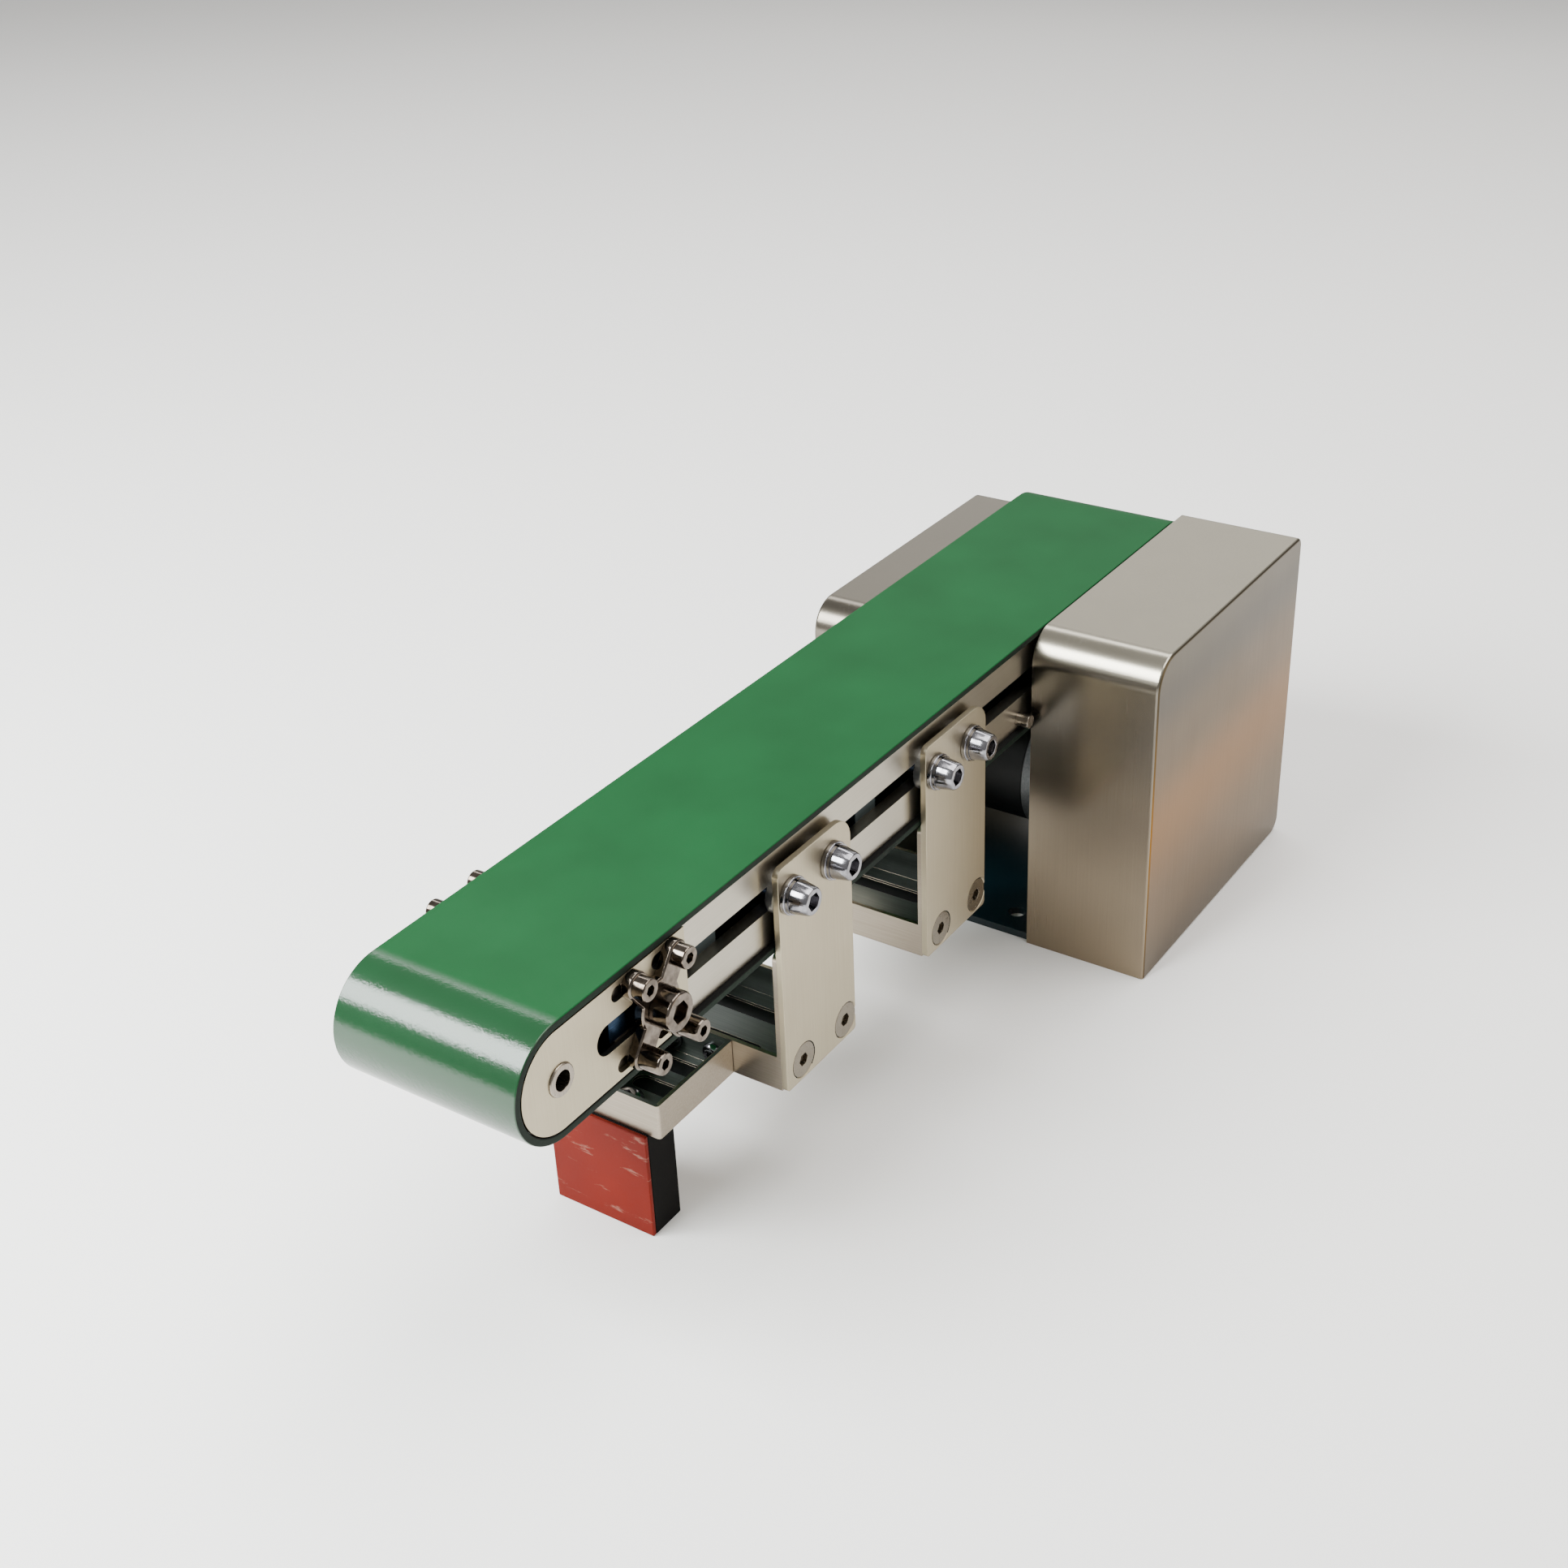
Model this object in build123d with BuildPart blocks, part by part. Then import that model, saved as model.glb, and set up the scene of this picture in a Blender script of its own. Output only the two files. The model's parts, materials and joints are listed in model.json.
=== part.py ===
from build123d import *
from collections import namedtuple
from math import atan2, degrees, hypot
import os

# Belt conveyor section, built as an assembly of separate pieces.
# Millimetres, +Z up. The origin is the centre of the drive housing's base, on the belt's centreline.
# +X runs from the nose roller to the drive housing, +Y is the left side seen from the nose.

os.makedirs("parts", exist_ok=True)

# Driving dimensions
belt_width = 65.0
belt_t = 2.4
belt_top = 129.0
roller_d = 32.0
nose_reach = 262.0          # housing front to nose roller axis
housing_length = 126.0
drive_setback = 14.0        # housing back to drive roller axis
right_cover_width = 48.4
left_cover_width = 26.0
left_cover_drop = 9.0       # the left cover's top below the right cover's
bracket_width = 40.0
bracket_t = 2.1
bracket_pitch = 86.0
rear_bracket_reach = 57.0   # housing front to the rear bracket's centre
tray_z = 39.6
tray_h = 12.6
tray_sheet = 1.5
pressing_depth = 0.9
spine_length = 39.0
spine_width = 28.6
cover_sheet = 1.5
side_plate_t = 3.0
base_t = 3.0
rail_t = 4.5
rail_slot_h = 8.4
beam_half = 17.5
beam_front = -290.0
nose_plate_t = 1.8
clamp_t = 3.0
tension_travel = 6.0

# Clearances
belt_gap = 0.3              # rollers and slider bed to the belt's inner face
edge_gap = 0.5              # belt edge to the brackets and side plates
fit_gap = 0.05              # threads, press seats and glued seats within one body
turn_gap = 0.03             # running fit, on the radius
free_gap = 0.3              # between pieces that move past each other
slide_gap = 0.1             # flat faces that slide

# Levels and stations that follow from them
roller_r = roller_d / 2
belt_r_in = roller_r + belt_gap
belt_r_out = belt_r_in + belt_t
axis_z = belt_top - belt_r_out
half_belt = belt_width / 2
front_x = -housing_length / 2
back_x = housing_length / 2
nose_x = front_x - nose_reach
drive_x = back_x - drive_setback
loop_x = (nose_x + drive_x) / 2
loop_span = drive_x - nose_x

rail_out = half_belt - 2.0
rail_in = rail_out - rail_t
rail_top = axis_z + roller_r
rail_bottom = axis_z - roller_r
rail_front = nose_x + roller_r + tension_travel + 3.0
rail_back = drive_x - roller_r - 7.0
bed_t = 1.5

plate_in = half_belt + edge_gap
bracket_out = plate_in + bracket_t
bracket_top = axis_z + 11.2
bracket_xs = (front_x - rear_bracket_reach - bracket_pitch, front_x - rear_bracket_reach)
ear_top = axis_z - belt_r_out - 0.6
bracket_screw_xs = (-13.5, 9.1)     # from each bracket's centre
foot_screw_xs = (-10.4, 14.0)
foot_screw_z = tray_z + 6.9

side_plate_out = plate_in + side_plate_t
right_height = belt_top
left_height = belt_top - left_cover_drop
inset = cover_sheet + free_gap

clamp_x = nose_x + 40.5
clamp_arm = (9.0, 11.9)             # arm end from the clamp's centre, along X and Z
clamp_in = half_belt
clamp_out = clamp_in + clamp_t
nose_plate_in = rail_out + slide_gap
nose_plate_out = nose_plate_in + nose_plate_t
nose_plate_r = roller_r - slide_gap
nose_plate_back = nose_x + 56.6
nose_slot_h = 9.5

motor_x = drive_x - 41.0
motor_z = base_t + 35.0
gearbox_r = 27.0
motor_r = 26.0
motor_screw_r = 21.0
pulley_r = 9.5
pulley_in = side_plate_out + 9.0
pulley_w = 10.0
drive_belt_t = 1.4

sides = (-1, 1)             # right, left
names = {-1: "right", 1: "left"}

# Fasteners: shank radius, head radius, head height, key across flats, key depth
Screw = namedtuple("Screw", "shank_r head_r head_h key key_depth")
m8 = Screw(4.0, 6.1, 6.6, 6.0, 3.6)
m6 = Screw(3.0, 5.0, 6.0, 5.0, 3.0)
m6_taper = Screw(3.0, 5.5, 5.8, 5.2, 3.0)
m6_button = Screw(3.0, 6.0, 3.3, 4.0, 1.9)
m6_flat = Screw(3.0, 6.0, 3.3, 4.0, 1.9)
m4 = Screw(2.0, 3.5, 4.0, 3.0, 2.0)
m4_tall = Screw(2.0, 3.5, 7.0, 3.0, 2.4)
m4_button = Screw(2.0, 3.8, 2.2, 2.5, 1.3)


def keep(piece, label):
    piece.part.label = label
    export_step(piece.part, f"parts/{label}.step")


def band(side, inner, outer):
    """Sketch plane and depth for material from |y| = inner to |y| = outer on one side."""
    y_high = outer if side > 0 else -inner
    return Plane.XZ.offset(-y_high), outer - inner


def disc(side, x, z, inner, outer, r_out, r_in=0.0, mode=Mode.ADD):
    disc_plane, disc_depth = band(side, inner, outer)
    with BuildSketch(disc_plane) as ring:
        with Locations((x, z)):
            Circle(r_out)
            if r_in > 0:
                Circle(r_in, mode=Mode.SUBTRACT)
    extrude(ring.sketch, amount=disc_depth, mode=mode)


def block(x_low, x_high, y_low, y_high, z_low, z_high, mode=Mode.ADD):
    with BuildSketch(Plane.XY.offset(z_low)) as footprint:
        with Locations(((x_low + x_high) / 2, (y_low + y_high) / 2)):
            Rectangle(x_high - x_low, y_high - y_low)
    extrude(footprint.sketch, amount=z_high - z_low, mode=mode)


def side_block(side, x_low, x_high, inner, outer, z_low, z_high, mode=Mode.ADD):
    ys = sorted((side * inner, side * outer))
    block(x_low, x_high, ys[0], ys[1], z_low, z_high, mode)


def make_screw(size, length, domed=False, taper=1.0):
    """A socket screw along +Y: the seat is at y = 0 and the head stands on its + side."""
    rim = (size.head_r * taper, size.head_h * (0.25 if domed else 0.88))
    crown = (size.head_r * (0.55 if domed else taper - 0.08), size.head_h)
    bulge = (size.head_r * 0.86, size.head_h * 0.74)
    with BuildPart() as screw:
        with BuildSketch():
            with BuildLine():
                Polyline((0, -length), (size.shank_r, -length), (size.shank_r, 0), (size.head_r, 0), rim)
                if domed:
                    ThreePointArc(rim, bulge, crown)
                else:
                    Line(rim, crown)
                Polyline(crown, (0, size.head_h), (0, -length))
            make_face()
        revolve(axis=Axis.Y)
        with BuildSketch(Plane.XZ.offset(-size.head_h)):
            RegularPolygon(size.key / 2, 6, major_radius=False)
        extrude(amount=size.key_depth, mode=Mode.SUBTRACT)
    return screw.part


def make_flat_screw(size, length, gap=0.0):
    """A countersunk socket screw along +Y, flush at y = 0. A gap widens it into the cut for its own seat."""
    shank_r, head_r = size.shank_r + gap, size.head_r + gap
    top = 1.0 if gap > 0 else 0.0
    with BuildPart() as screw:
        with BuildSketch():
            with BuildLine():
                Polyline((0, top), (0, -length), (shank_r, -length), (shank_r, -size.head_h), (head_r, 0))
                if gap > 0:
                    Polyline((head_r, 0), (head_r, top), (0, top))
                else:
                    Line((head_r, 0), (0, 0))
            make_face()
        revolve(axis=Axis.Y)
        if gap == 0:
            with BuildSketch(Plane.XZ):
                RegularPolygon(size.key / 2, 6, major_radius=False)
            extrude(amount=size.key_depth, mode=Mode.SUBTRACT)
    return screw.part


def side_screw_place(side, x, seat, z):
    return Location((x, side * seat, z), (0, 0, 0 if side > 0 else 180))


# Conveyor belt: one endless loop round both rollers

with BuildPart() as conveyor_belt:
    plane, depth = band(1, -half_belt, half_belt)
    with BuildSketch(plane):
        with Locations((loop_x, axis_z)):
            SlotCenterToCenter(loop_span, 2 * belt_r_out)
            SlotCenterToCenter(loop_span, 2 * belt_r_in, mode=Mode.SUBTRACT)
    extrude(amount=depth)
keep(conveyor_belt, "conveyor_belt")

# Slider bed: the sheet the loaded run slides on, level with the rails' tops

with BuildPart() as slider_bed:
    bed_half = rail_in - slide_gap
    block(rail_front + 2, rail_back - 2, -bed_half, bed_half, rail_top - bed_t, rail_top)
    fillet(slider_bed.edges().filter_by(Axis.Z), 2)
keep(slider_bed, "slider_bed")

# Side rails: an upper and a lower bar per side with the long fixing slot between them

rail_screw_xs = (front_x + 23.0, rail_back - 16.0)
upper_rail_z = (axis_z + rail_slot_h / 2 + rail_top) / 2
lower_rail_z = (axis_z - rail_slot_h / 2 + rail_bottom) / 2
stud_x = front_x - 5.0
stud_z = rail_bottom + 3.7
stud_r = 2.5


def rail(side, z_low, z_high, holes):
    with BuildPart() as bar:
        rail_plane, rail_depth = band(side, rail_in, rail_out)
        with BuildSketch(rail_plane):
            with Locations(((rail_front + rail_back) / 2, (z_low + z_high) / 2)):
                Rectangle(rail_back - rail_front, z_high - z_low)
            for x, z, r in holes:
                with Locations((x, z)):
                    Circle(r + fit_gap, mode=Mode.SUBTRACT)
        extrude(amount=rail_depth)
    return bar


for side in sides:
    clamp_holes = [(clamp_x + dx, m4.shank_r) for dx in (-clamp_arm[0], clamp_arm[0])]
    upper_holes = [(x, axis_z + clamp_arm[1], r) for x, r in clamp_holes]
    if side < 0:
        upper_holes += [(x, upper_rail_z, m6.shank_r) for x in rail_screw_xs]
    lower_holes = [(x, axis_z - clamp_arm[1], r) for x, r in clamp_holes]
    lower_holes += [(x, lower_rail_z, m6.shank_r) for x in rail_screw_xs]
    lower_holes += [(stud_x, stud_z, stud_r)]
    upper_rail = rail(side, axis_z + rail_slot_h / 2, rail_top, upper_holes)
    keep(upper_rail, f"{names[side]}_upper_rail")
    lower_rail = rail(side, rail_bottom, axis_z - rail_slot_h / 2, lower_holes)
    keep(lower_rail, f"{names[side]}_lower_rail")

# Centre beam: the dark profile between the rails that carries the slider bed

with BuildPart() as centre_beam:
    block(beam_front, rail_back, -beam_half, beam_half, rail_bottom + 3, rail_top - bed_t)
keep(centre_beam, "centre_beam")

# Cross blocks tie the two sides to the centre beam

cross_block_xs = (bracket_xs[0] - 46.0, sum(bracket_xs) / 2, front_x + 48.0)
with BuildPart() as rail_cross_blocks:
    for side in sides:
        for x in cross_block_xs:
            side_block(side, x - 6, x + 6, beam_half, rail_in, rail_bottom + 4, rail_top - bed_t)
keep(rail_cross_blocks, "rail_cross_blocks")

with BuildPart() as rail_stop_studs:
    for side in sides:
        disc(side, stud_x, stud_z, rail_in + 1, plate_in + 2.5, stud_r)
keep(rail_stop_studs, "rail_stop_studs")

# Nose frame: two stadium-ended plates and the fixed axle slide as one to set the belt's tension

axle_r = 5.0
slot_front = nose_x + 15.5
slot_back = clamp_x + m8.shank_r + 3.5


def nose_plate(side):
    with BuildPart() as plate_part:
        nose_plane, nose_depth = band(side, nose_plate_in, nose_plate_out)
        with BuildSketch(nose_plane):
            with Locations((nose_x, axis_z)):
                Circle(nose_plate_r)
            with Locations(((nose_x + nose_plate_back) / 2, axis_z)):
                Rectangle(nose_plate_back - nose_x, 2 * nose_plate_r)
            with Locations((nose_x, axis_z)):
                Circle(axle_r + fit_gap, mode=Mode.SUBTRACT)
            with Locations(((slot_front + slot_back) / 2, axis_z)):
                SlotOverall(slot_back - slot_front, nose_slot_h, mode=Mode.SUBTRACT)
            for dx in (-clamp_arm[0], clamp_arm[0]):
                for dz in (-clamp_arm[1], clamp_arm[1]):
                    with Locations((clamp_x + dx - tension_travel / 2, axis_z + dz)):
                        hole_d = 2 * (m4.shank_r + free_gap)
                        SlotOverall(hole_d + tension_travel, hole_d, mode=Mode.SUBTRACT)
        extrude(amount=nose_depth)
    return plate_part


right_nose_plate = nose_plate(-1)
keep(right_nose_plate, "right_nose_plate")
left_nose_plate = nose_plate(1)
keep(left_nose_plate, "left_nose_plate")

axle_end = nose_plate_out + 0.8
axle_bore_r = 3.0
axle_bore_depth = 12.0
with BuildPart() as nose_axle:
    disc(1, nose_x, axis_z, -axle_end, axle_end, axle_r)
    for side in sides:
        disc(side, nose_x, axis_z, axle_end - axle_bore_depth, axle_end, axle_bore_r, mode=Mode.SUBTRACT)
    chamfer(nose_axle.faces().sort_by(Axis.Y)[0].outer_wire().edges(), 0.4)
    chamfer(nose_axle.faces().sort_by(Axis.Y)[-1].outer_wire().edges(), 0.4)
keep(nose_axle, "nose_axle")

nose_roller_half = nose_plate_in - 0.5
bearing_r = roller_r - 3.0
with BuildPart() as nose_roller:
    disc(1, nose_x, axis_z, -nose_roller_half, nose_roller_half, roller_r, bearing_r + fit_gap)
keep(nose_roller, "nose_roller")

with BuildPart() as nose_bearings:
    for side in sides:
        disc(side, nose_x, axis_z, nose_roller_half - 9, nose_roller_half - 1, bearing_r, axle_r + turn_gap)
keep(nose_bearings, "nose_bearings")

# Tension clamps: a T-shaped nut block in the rail slot, a four-armed clamp and its screws

nut_block_front = rail_front - 2.0
nut_block_back = clamp_x + 16.5
nut_half_h = rail_slot_h / 2 + 4.8
with BuildPart() as tension_nut_blocks:
    for side in sides:
        side_block(side, nut_block_front, nut_block_back, rail_in - 6, rail_in,
                   axis_z - nut_half_h, axis_z + nut_half_h)
        side_block(side, nut_block_front, nut_block_back, rail_in - 1, rail_out,
                   axis_z - rail_slot_h / 2 + 0.2, axis_z + rail_slot_h / 2 - 0.2)
        disc(side, clamp_x, axis_z, rail_in - 6, rail_out, m8.shank_r + turn_gap, mode=Mode.SUBTRACT)
keep(tension_nut_blocks, "tension_nut_blocks")


def nose_clamp(side):
    arm_angle = degrees(atan2(clamp_arm[1], clamp_arm[0]))
    arm_span = 2 * hypot(*clamp_arm)
    with BuildPart() as clamp_part:
        clamp_plane, clamp_depth = band(side, clamp_in, clamp_out)
        with BuildSketch(clamp_plane):
            with Locations((clamp_x, axis_z)):
                Circle(8.6)
                SlotCenterToCenter(arm_span, 8.4, rotation=arm_angle)
                SlotCenterToCenter(arm_span, 8.4, rotation=-arm_angle)
                Circle(m8.shank_r + free_gap, mode=Mode.SUBTRACT)
            for dx in (-clamp_arm[0], clamp_arm[0]):
                for dz in (-clamp_arm[1], clamp_arm[1]):
                    with Locations((clamp_x + dx, axis_z + dz)):
                        Circle(m4.shank_r + fit_gap, mode=Mode.SUBTRACT)
        extrude(amount=clamp_depth)
        outer_face = clamp_part.faces().sort_by(Axis.Y)[0 if side < 0 else -1]
        chamfer(outer_face.outer_wire().edges(), 0.5)
    return clamp_part


right_nose_clamp = nose_clamp(-1)
keep(right_nose_clamp, "right_nose_clamp")
left_nose_clamp = nose_clamp(1)
keep(left_nose_clamp, "left_nose_clamp")

m4_clamp_screw = make_screw(m4, clamp_out - rail_in - 1.0)
m4_tall_clamp_screw = make_screw(m4_tall, clamp_out - rail_in - 1.0)
with BuildPart() as nose_clamp_screws:
    for side in sides:
        for dx in (-clamp_arm[0], clamp_arm[0]):
            for dz in (-clamp_arm[1], clamp_arm[1]):
                with Locations(side_screw_place(side, clamp_x + dx, clamp_out, axis_z + dz)):
                    add(m4_clamp_screw if dz > 0 else m4_tall_clamp_screw)
keep(nose_clamp_screws, "nose_clamp_screws")

m8_clamp_screw = make_screw(m8, clamp_out - rail_in + 5.0)
for side in sides:
    with BuildPart() as clamp_screw:
        with Locations(side_screw_place(side, clamp_x, clamp_out, axis_z)):
            add(m8_clamp_screw)
    keep(clamp_screw, f"{names[side]}_clamp_screw")

# Brackets: four hanging plates, two cross trays with upturned ears, and their fasteners

washer_t = 1.6
spring_washer_t = 1.0
bracket_seat = bracket_out + washer_t + spring_washer_t
flat_screw_gap = 0.3
foot_seat = make_flat_screw(m6_flat, 6.0, flat_screw_gap)


def bracket_plate(side, x):
    with BuildPart() as plate_part:
        bracket_plane, bracket_depth = band(side, plate_in, bracket_out)
        with BuildSketch(bracket_plane) as outline:
            with Locations((x, (tray_z + bracket_top) / 2)):
                Rectangle(bracket_width, bracket_top - tray_z)
            fillet(outline.vertices().group_by(Axis.Y)[-1].sort_by(Axis.X)[0], 3)
            fillet(outline.vertices().group_by(Axis.Y)[-1].sort_by(Axis.X)[-1], 8)
            fillet(outline.vertices().group_by(Axis.Y)[0], 1.5)
            for dx in bracket_screw_xs:
                with Locations((x + dx, axis_z)):
                    Circle(m6_taper.shank_r + 0.5, mode=Mode.SUBTRACT)
        extrude(amount=bracket_depth)
        for dx in foot_screw_xs:
            with Locations(side_screw_place(side, x + dx, bracket_out, foot_screw_z)):
                add(foot_seat, mode=Mode.SUBTRACT)
    return plate_part


for side in sides:
    for place, x in zip(("front", "rear"), bracket_xs):
        bracket = bracket_plate(side, x)
        keep(bracket, f"{place}_{names[side]}_bracket")


def cross_tray(x):
    ear_in = plate_in - tray_sheet
    with BuildPart() as tray:
        half_w = bracket_width / 2
        block(x - half_w, x + half_w, -plate_in, plate_in, tray_z, ear_top)
        block(x - half_w + tray_sheet, x + half_w - tray_sheet, -ear_in, ear_in,
              tray_z + tray_sheet, ear_top, Mode.SUBTRACT)
        block(x - half_w, x + half_w, -ear_in, ear_in, tray_z + tray_h, ear_top, Mode.SUBTRACT)
        with BuildSketch(Plane.XY.offset(tray_z + tray_sheet - pressing_depth)):
            with Locations((x - 9, 0), (x + 9, 0)):
                SlotOverall(34, 6.5, rotation=90)
        extrude(amount=pressing_depth, mode=Mode.SUBTRACT)
        for side in sides:
            for dx in foot_screw_xs:
                with Locations(side_screw_place(side, x + dx, bracket_out, foot_screw_z)):
                    add(foot_seat, mode=Mode.SUBTRACT)
        fillet(tray.edges().filter_by(Axis.Y).group_by(Axis.Z)[-1], 2.5)
    return tray


front_cross_tray = cross_tray(bracket_xs[0])
keep(front_cross_tray, "front_cross_tray")
rear_cross_tray = cross_tray(bracket_xs[1])
keep(rear_cross_tray, "rear_cross_tray")

bracket_screw_places = [(side, x + dx) for side in sides for x in bracket_xs for dx in bracket_screw_xs]

m6_bracket_screw = make_screw(m6_taper, bracket_seat - rail_in + 5.0, taper=0.84)
with BuildPart() as bracket_screws:
    for side, x in bracket_screw_places:
        with Locations(side_screw_place(side, x, bracket_seat, axis_z)):
            add(m6_bracket_screw)
keep(bracket_screws, "bracket_screws")

with BuildPart() as bracket_washers:
    for side, x in bracket_screw_places:
        disc(side, x, axis_z, bracket_out, bracket_out + washer_t, 6.3, m6_taper.shank_r + 0.2)
keep(bracket_washers, "bracket_washers")

with BuildPart() as bracket_spring_washers:
    for side, x in bracket_screw_places:
        split_plane, split_depth = band(side, bracket_out + washer_t, bracket_seat)
        with BuildSketch(split_plane):
            with Locations((x, axis_z)):
                Circle(5.8)
                Circle(m6_taper.shank_r + 0.1, mode=Mode.SUBTRACT)
            with Locations((x, axis_z + 4.9)):
                Rectangle(0.9, 5, mode=Mode.SUBTRACT)
        extrude(amount=split_depth)
keep(bracket_spring_washers, "bracket_spring_washers")

with BuildPart() as bracket_spacers:
    for side, x in bracket_screw_places:
        disc(side, x, axis_z, rail_out, plate_in, 7.0, m6_taper.shank_r + 0.2)
keep(bracket_spacers, "bracket_spacers")

with BuildPart() as bracket_nut_plates:
    for side in sides:
        for x in bracket_xs:
            nut_front = x + bracket_screw_xs[0] - 8
            nut_back = x + bracket_screw_xs[1] + 8
            side_block(side, nut_front, nut_back, rail_in - 6, rail_in,
                       axis_z - nut_half_h, axis_z + nut_half_h)
            for dx in bracket_screw_xs:
                disc(side, x + dx, axis_z, rail_in - 6, rail_in, m6_taper.shank_r + fit_gap, mode=Mode.SUBTRACT)
keep(bracket_nut_plates, "bracket_nut_plates")

m6_foot_screw = make_flat_screw(m6_flat, 5.9)
with BuildPart() as bracket_foot_screws:
    for side in sides:
        for x in bracket_xs:
            for dx in foot_screw_xs:
                with Locations(side_screw_place(side, x + dx, bracket_out - 0.1, foot_screw_z)):
                    add(m6_foot_screw)
keep(bracket_foot_screws, "bracket_foot_screws")

# Spine channel: the open trough that runs on from the front tray to the support block

spine_back = bracket_xs[0] - bracket_width / 2 - 0.2
spine_front = spine_back - spine_length
spine_screw_y = 8.0
spine_screw_z = tray_z + 6.5
support_x = spine_front + 7.9
support_y = 5.0

with BuildPart() as spine_channel:
    half_spine = spine_width / 2
    block(spine_front, spine_back, -half_spine, half_spine, tray_z, tray_z + tray_h)
    block(spine_front + tray_sheet, spine_back - tray_sheet, -half_spine + tray_sheet,
          half_spine - tray_sheet, tray_z + tray_sheet, tray_z + tray_h, Mode.SUBTRACT)
    with BuildSketch(Plane.XY.offset(tray_z + tray_sheet - pressing_depth)):
        with Locations((spine_front + 19, 0), (spine_front + 31, 0)):
            SlotOverall(20, 6.5, rotation=90)
    extrude(amount=pressing_depth, mode=Mode.SUBTRACT)
    with BuildSketch(Plane.XY.offset(tray_z)):
        with Locations((support_x, support_y)):
            Circle(m6_button.shank_r + fit_gap)
    extrude(amount=tray_sheet, mode=Mode.SUBTRACT)
    with BuildSketch(Plane.YZ.offset(spine_back - tray_sheet)):
        with Locations((-spine_screw_y, spine_screw_z), (spine_screw_y, spine_screw_z)):
            Circle(m4_button.shank_r + fit_gap)
    extrude(amount=tray_sheet, mode=Mode.SUBTRACT)
    fillet(spine_channel.edges().filter_by(Axis.Z).group_by(Axis.X)[0], 1.2)
keep(spine_channel, "spine_channel")

m4_spine_screw = make_screw(m4_button, tray_sheet + 0.15, domed=True)
with BuildPart() as spine_screws:
    for y in (-spine_screw_y, spine_screw_y):
        with Locations(Location((spine_back - tray_sheet, y, spine_screw_z), (0, 0, 90))):
            add(m4_spine_screw)
keep(spine_screws, "spine_screws")

block_front = spine_front - 2.0
block_back = spine_front + 12.8
block_face_t = 1.5
block_width = 38.6
with BuildPart() as front_support_block:
    block(block_front + block_face_t, block_back, support_y + 4.5 - block_width / 2,
          support_y + 4.5 + block_width / 2, 0, tray_z)
    fillet(front_support_block.edges().filter_by(Axis.Z).group_by(Axis.X)[-1], 1.0)
    with BuildSketch(Plane.XY.offset(tray_z - 16)):
        with Locations((support_x, support_y)):
            Circle(m6_button.shank_r + fit_gap)
    extrude(amount=16, mode=Mode.SUBTRACT)
keep(front_support_block, "front_support_block")

with BuildPart() as support_block_face:
    block(block_front, block_front + block_face_t, support_y + 4.5 - block_width / 2,
          support_y + 4.5 + block_width / 2, 0, tray_z)
keep(support_block_face, "support_block_face")

m6_support_screw = make_screw(m6_button, 15.0, domed=True)
with BuildPart() as support_block_screw:
    with Locations(Location((support_x, support_y, tray_z + tray_sheet), (90, 0, 0))):
        add(m6_support_screw)
keep(support_block_screw, "support_block_screw")

# Drive housing: base plate, two upright side plates and the foot angles between them

base_back = back_x - 6.3
right_inside = plate_in + right_cover_width - inset
left_inside = plate_in + left_cover_width - inset
base_bolt_x = 50.0
base_bolt_y = 22.0
angle_half = 40.0
angle_screw_x = 32.0
angle_screw_y = side_plate_out + 8.0

with BuildPart() as base_plate:
    block(front_x + inset, base_back, -right_inside, left_inside, 0, base_t)
    with BuildSketch():
        with GridLocations(2 * base_bolt_x, 2 * base_bolt_y, 2, 2):
            Circle(3.3)
        with GridLocations(2 * angle_screw_x, 2 * angle_screw_y, 2, 2):
            Circle(m4_button.shank_r + fit_gap)
    extrude(amount=base_t, mode=Mode.SUBTRACT)
keep(base_plate, "base_plate")

motor_screw_spots = [(motor_x + dx, motor_z + dz)
                     for dx in (-motor_screw_r * 0.7071, motor_screw_r * 0.7071)
                     for dz in (-motor_screw_r * 0.7071, motor_screw_r * 0.7071)]
drive_bearing_r = 10.5
drive_bush_r = 7.0
pilot_r = 11.7


def side_plate(side, height, holes):
    with BuildPart() as plate_part:
        wall_plane, wall_depth = band(side, plate_in, side_plate_out)
        with BuildSketch(wall_plane) as outline:
            top = height - inset
            with Locations((0, (base_t + top) / 2)):
                Rectangle(housing_length - 2 * inset, top - base_t)
            fillet(outline.vertices().group_by(Axis.Y)[-1].sort_by(Axis.X)[0], 10.5)
            fillet(outline.vertices().group_by(Axis.Y)[-1].sort_by(Axis.X)[-1], 2)
            fillet(outline.vertices().group_by(Axis.Y)[0].sort_by(Axis.X)[-1], 3)
            for x, z, r in holes:
                with Locations((x, z)):
                    Circle(r, mode=Mode.SUBTRACT)
        extrude(amount=wall_depth)
    return plate_part


rail_screw_hole = m6.shank_r + 0.2
right_holes = [(drive_x, axis_z, drive_bearing_r + fit_gap), (motor_x, motor_z, pilot_r + fit_gap)]
right_holes += [(x, z, m4.shank_r + 0.2) for x, z in motor_screw_spots]
right_holes += [(x, z, rail_screw_hole) for x in rail_screw_xs for z in (upper_rail_z, lower_rail_z)]
left_holes = [(drive_x, axis_z, drive_bush_r + fit_gap), (motor_x, motor_z, motor_r + 1.0)]
left_holes += [(x, lower_rail_z, rail_screw_hole) for x in rail_screw_xs]

right_side_plate = side_plate(-1, right_height, right_holes)
keep(right_side_plate, "right_side_plate")
left_side_plate = side_plate(1, left_height, left_holes)
keep(left_side_plate, "left_side_plate")

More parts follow.
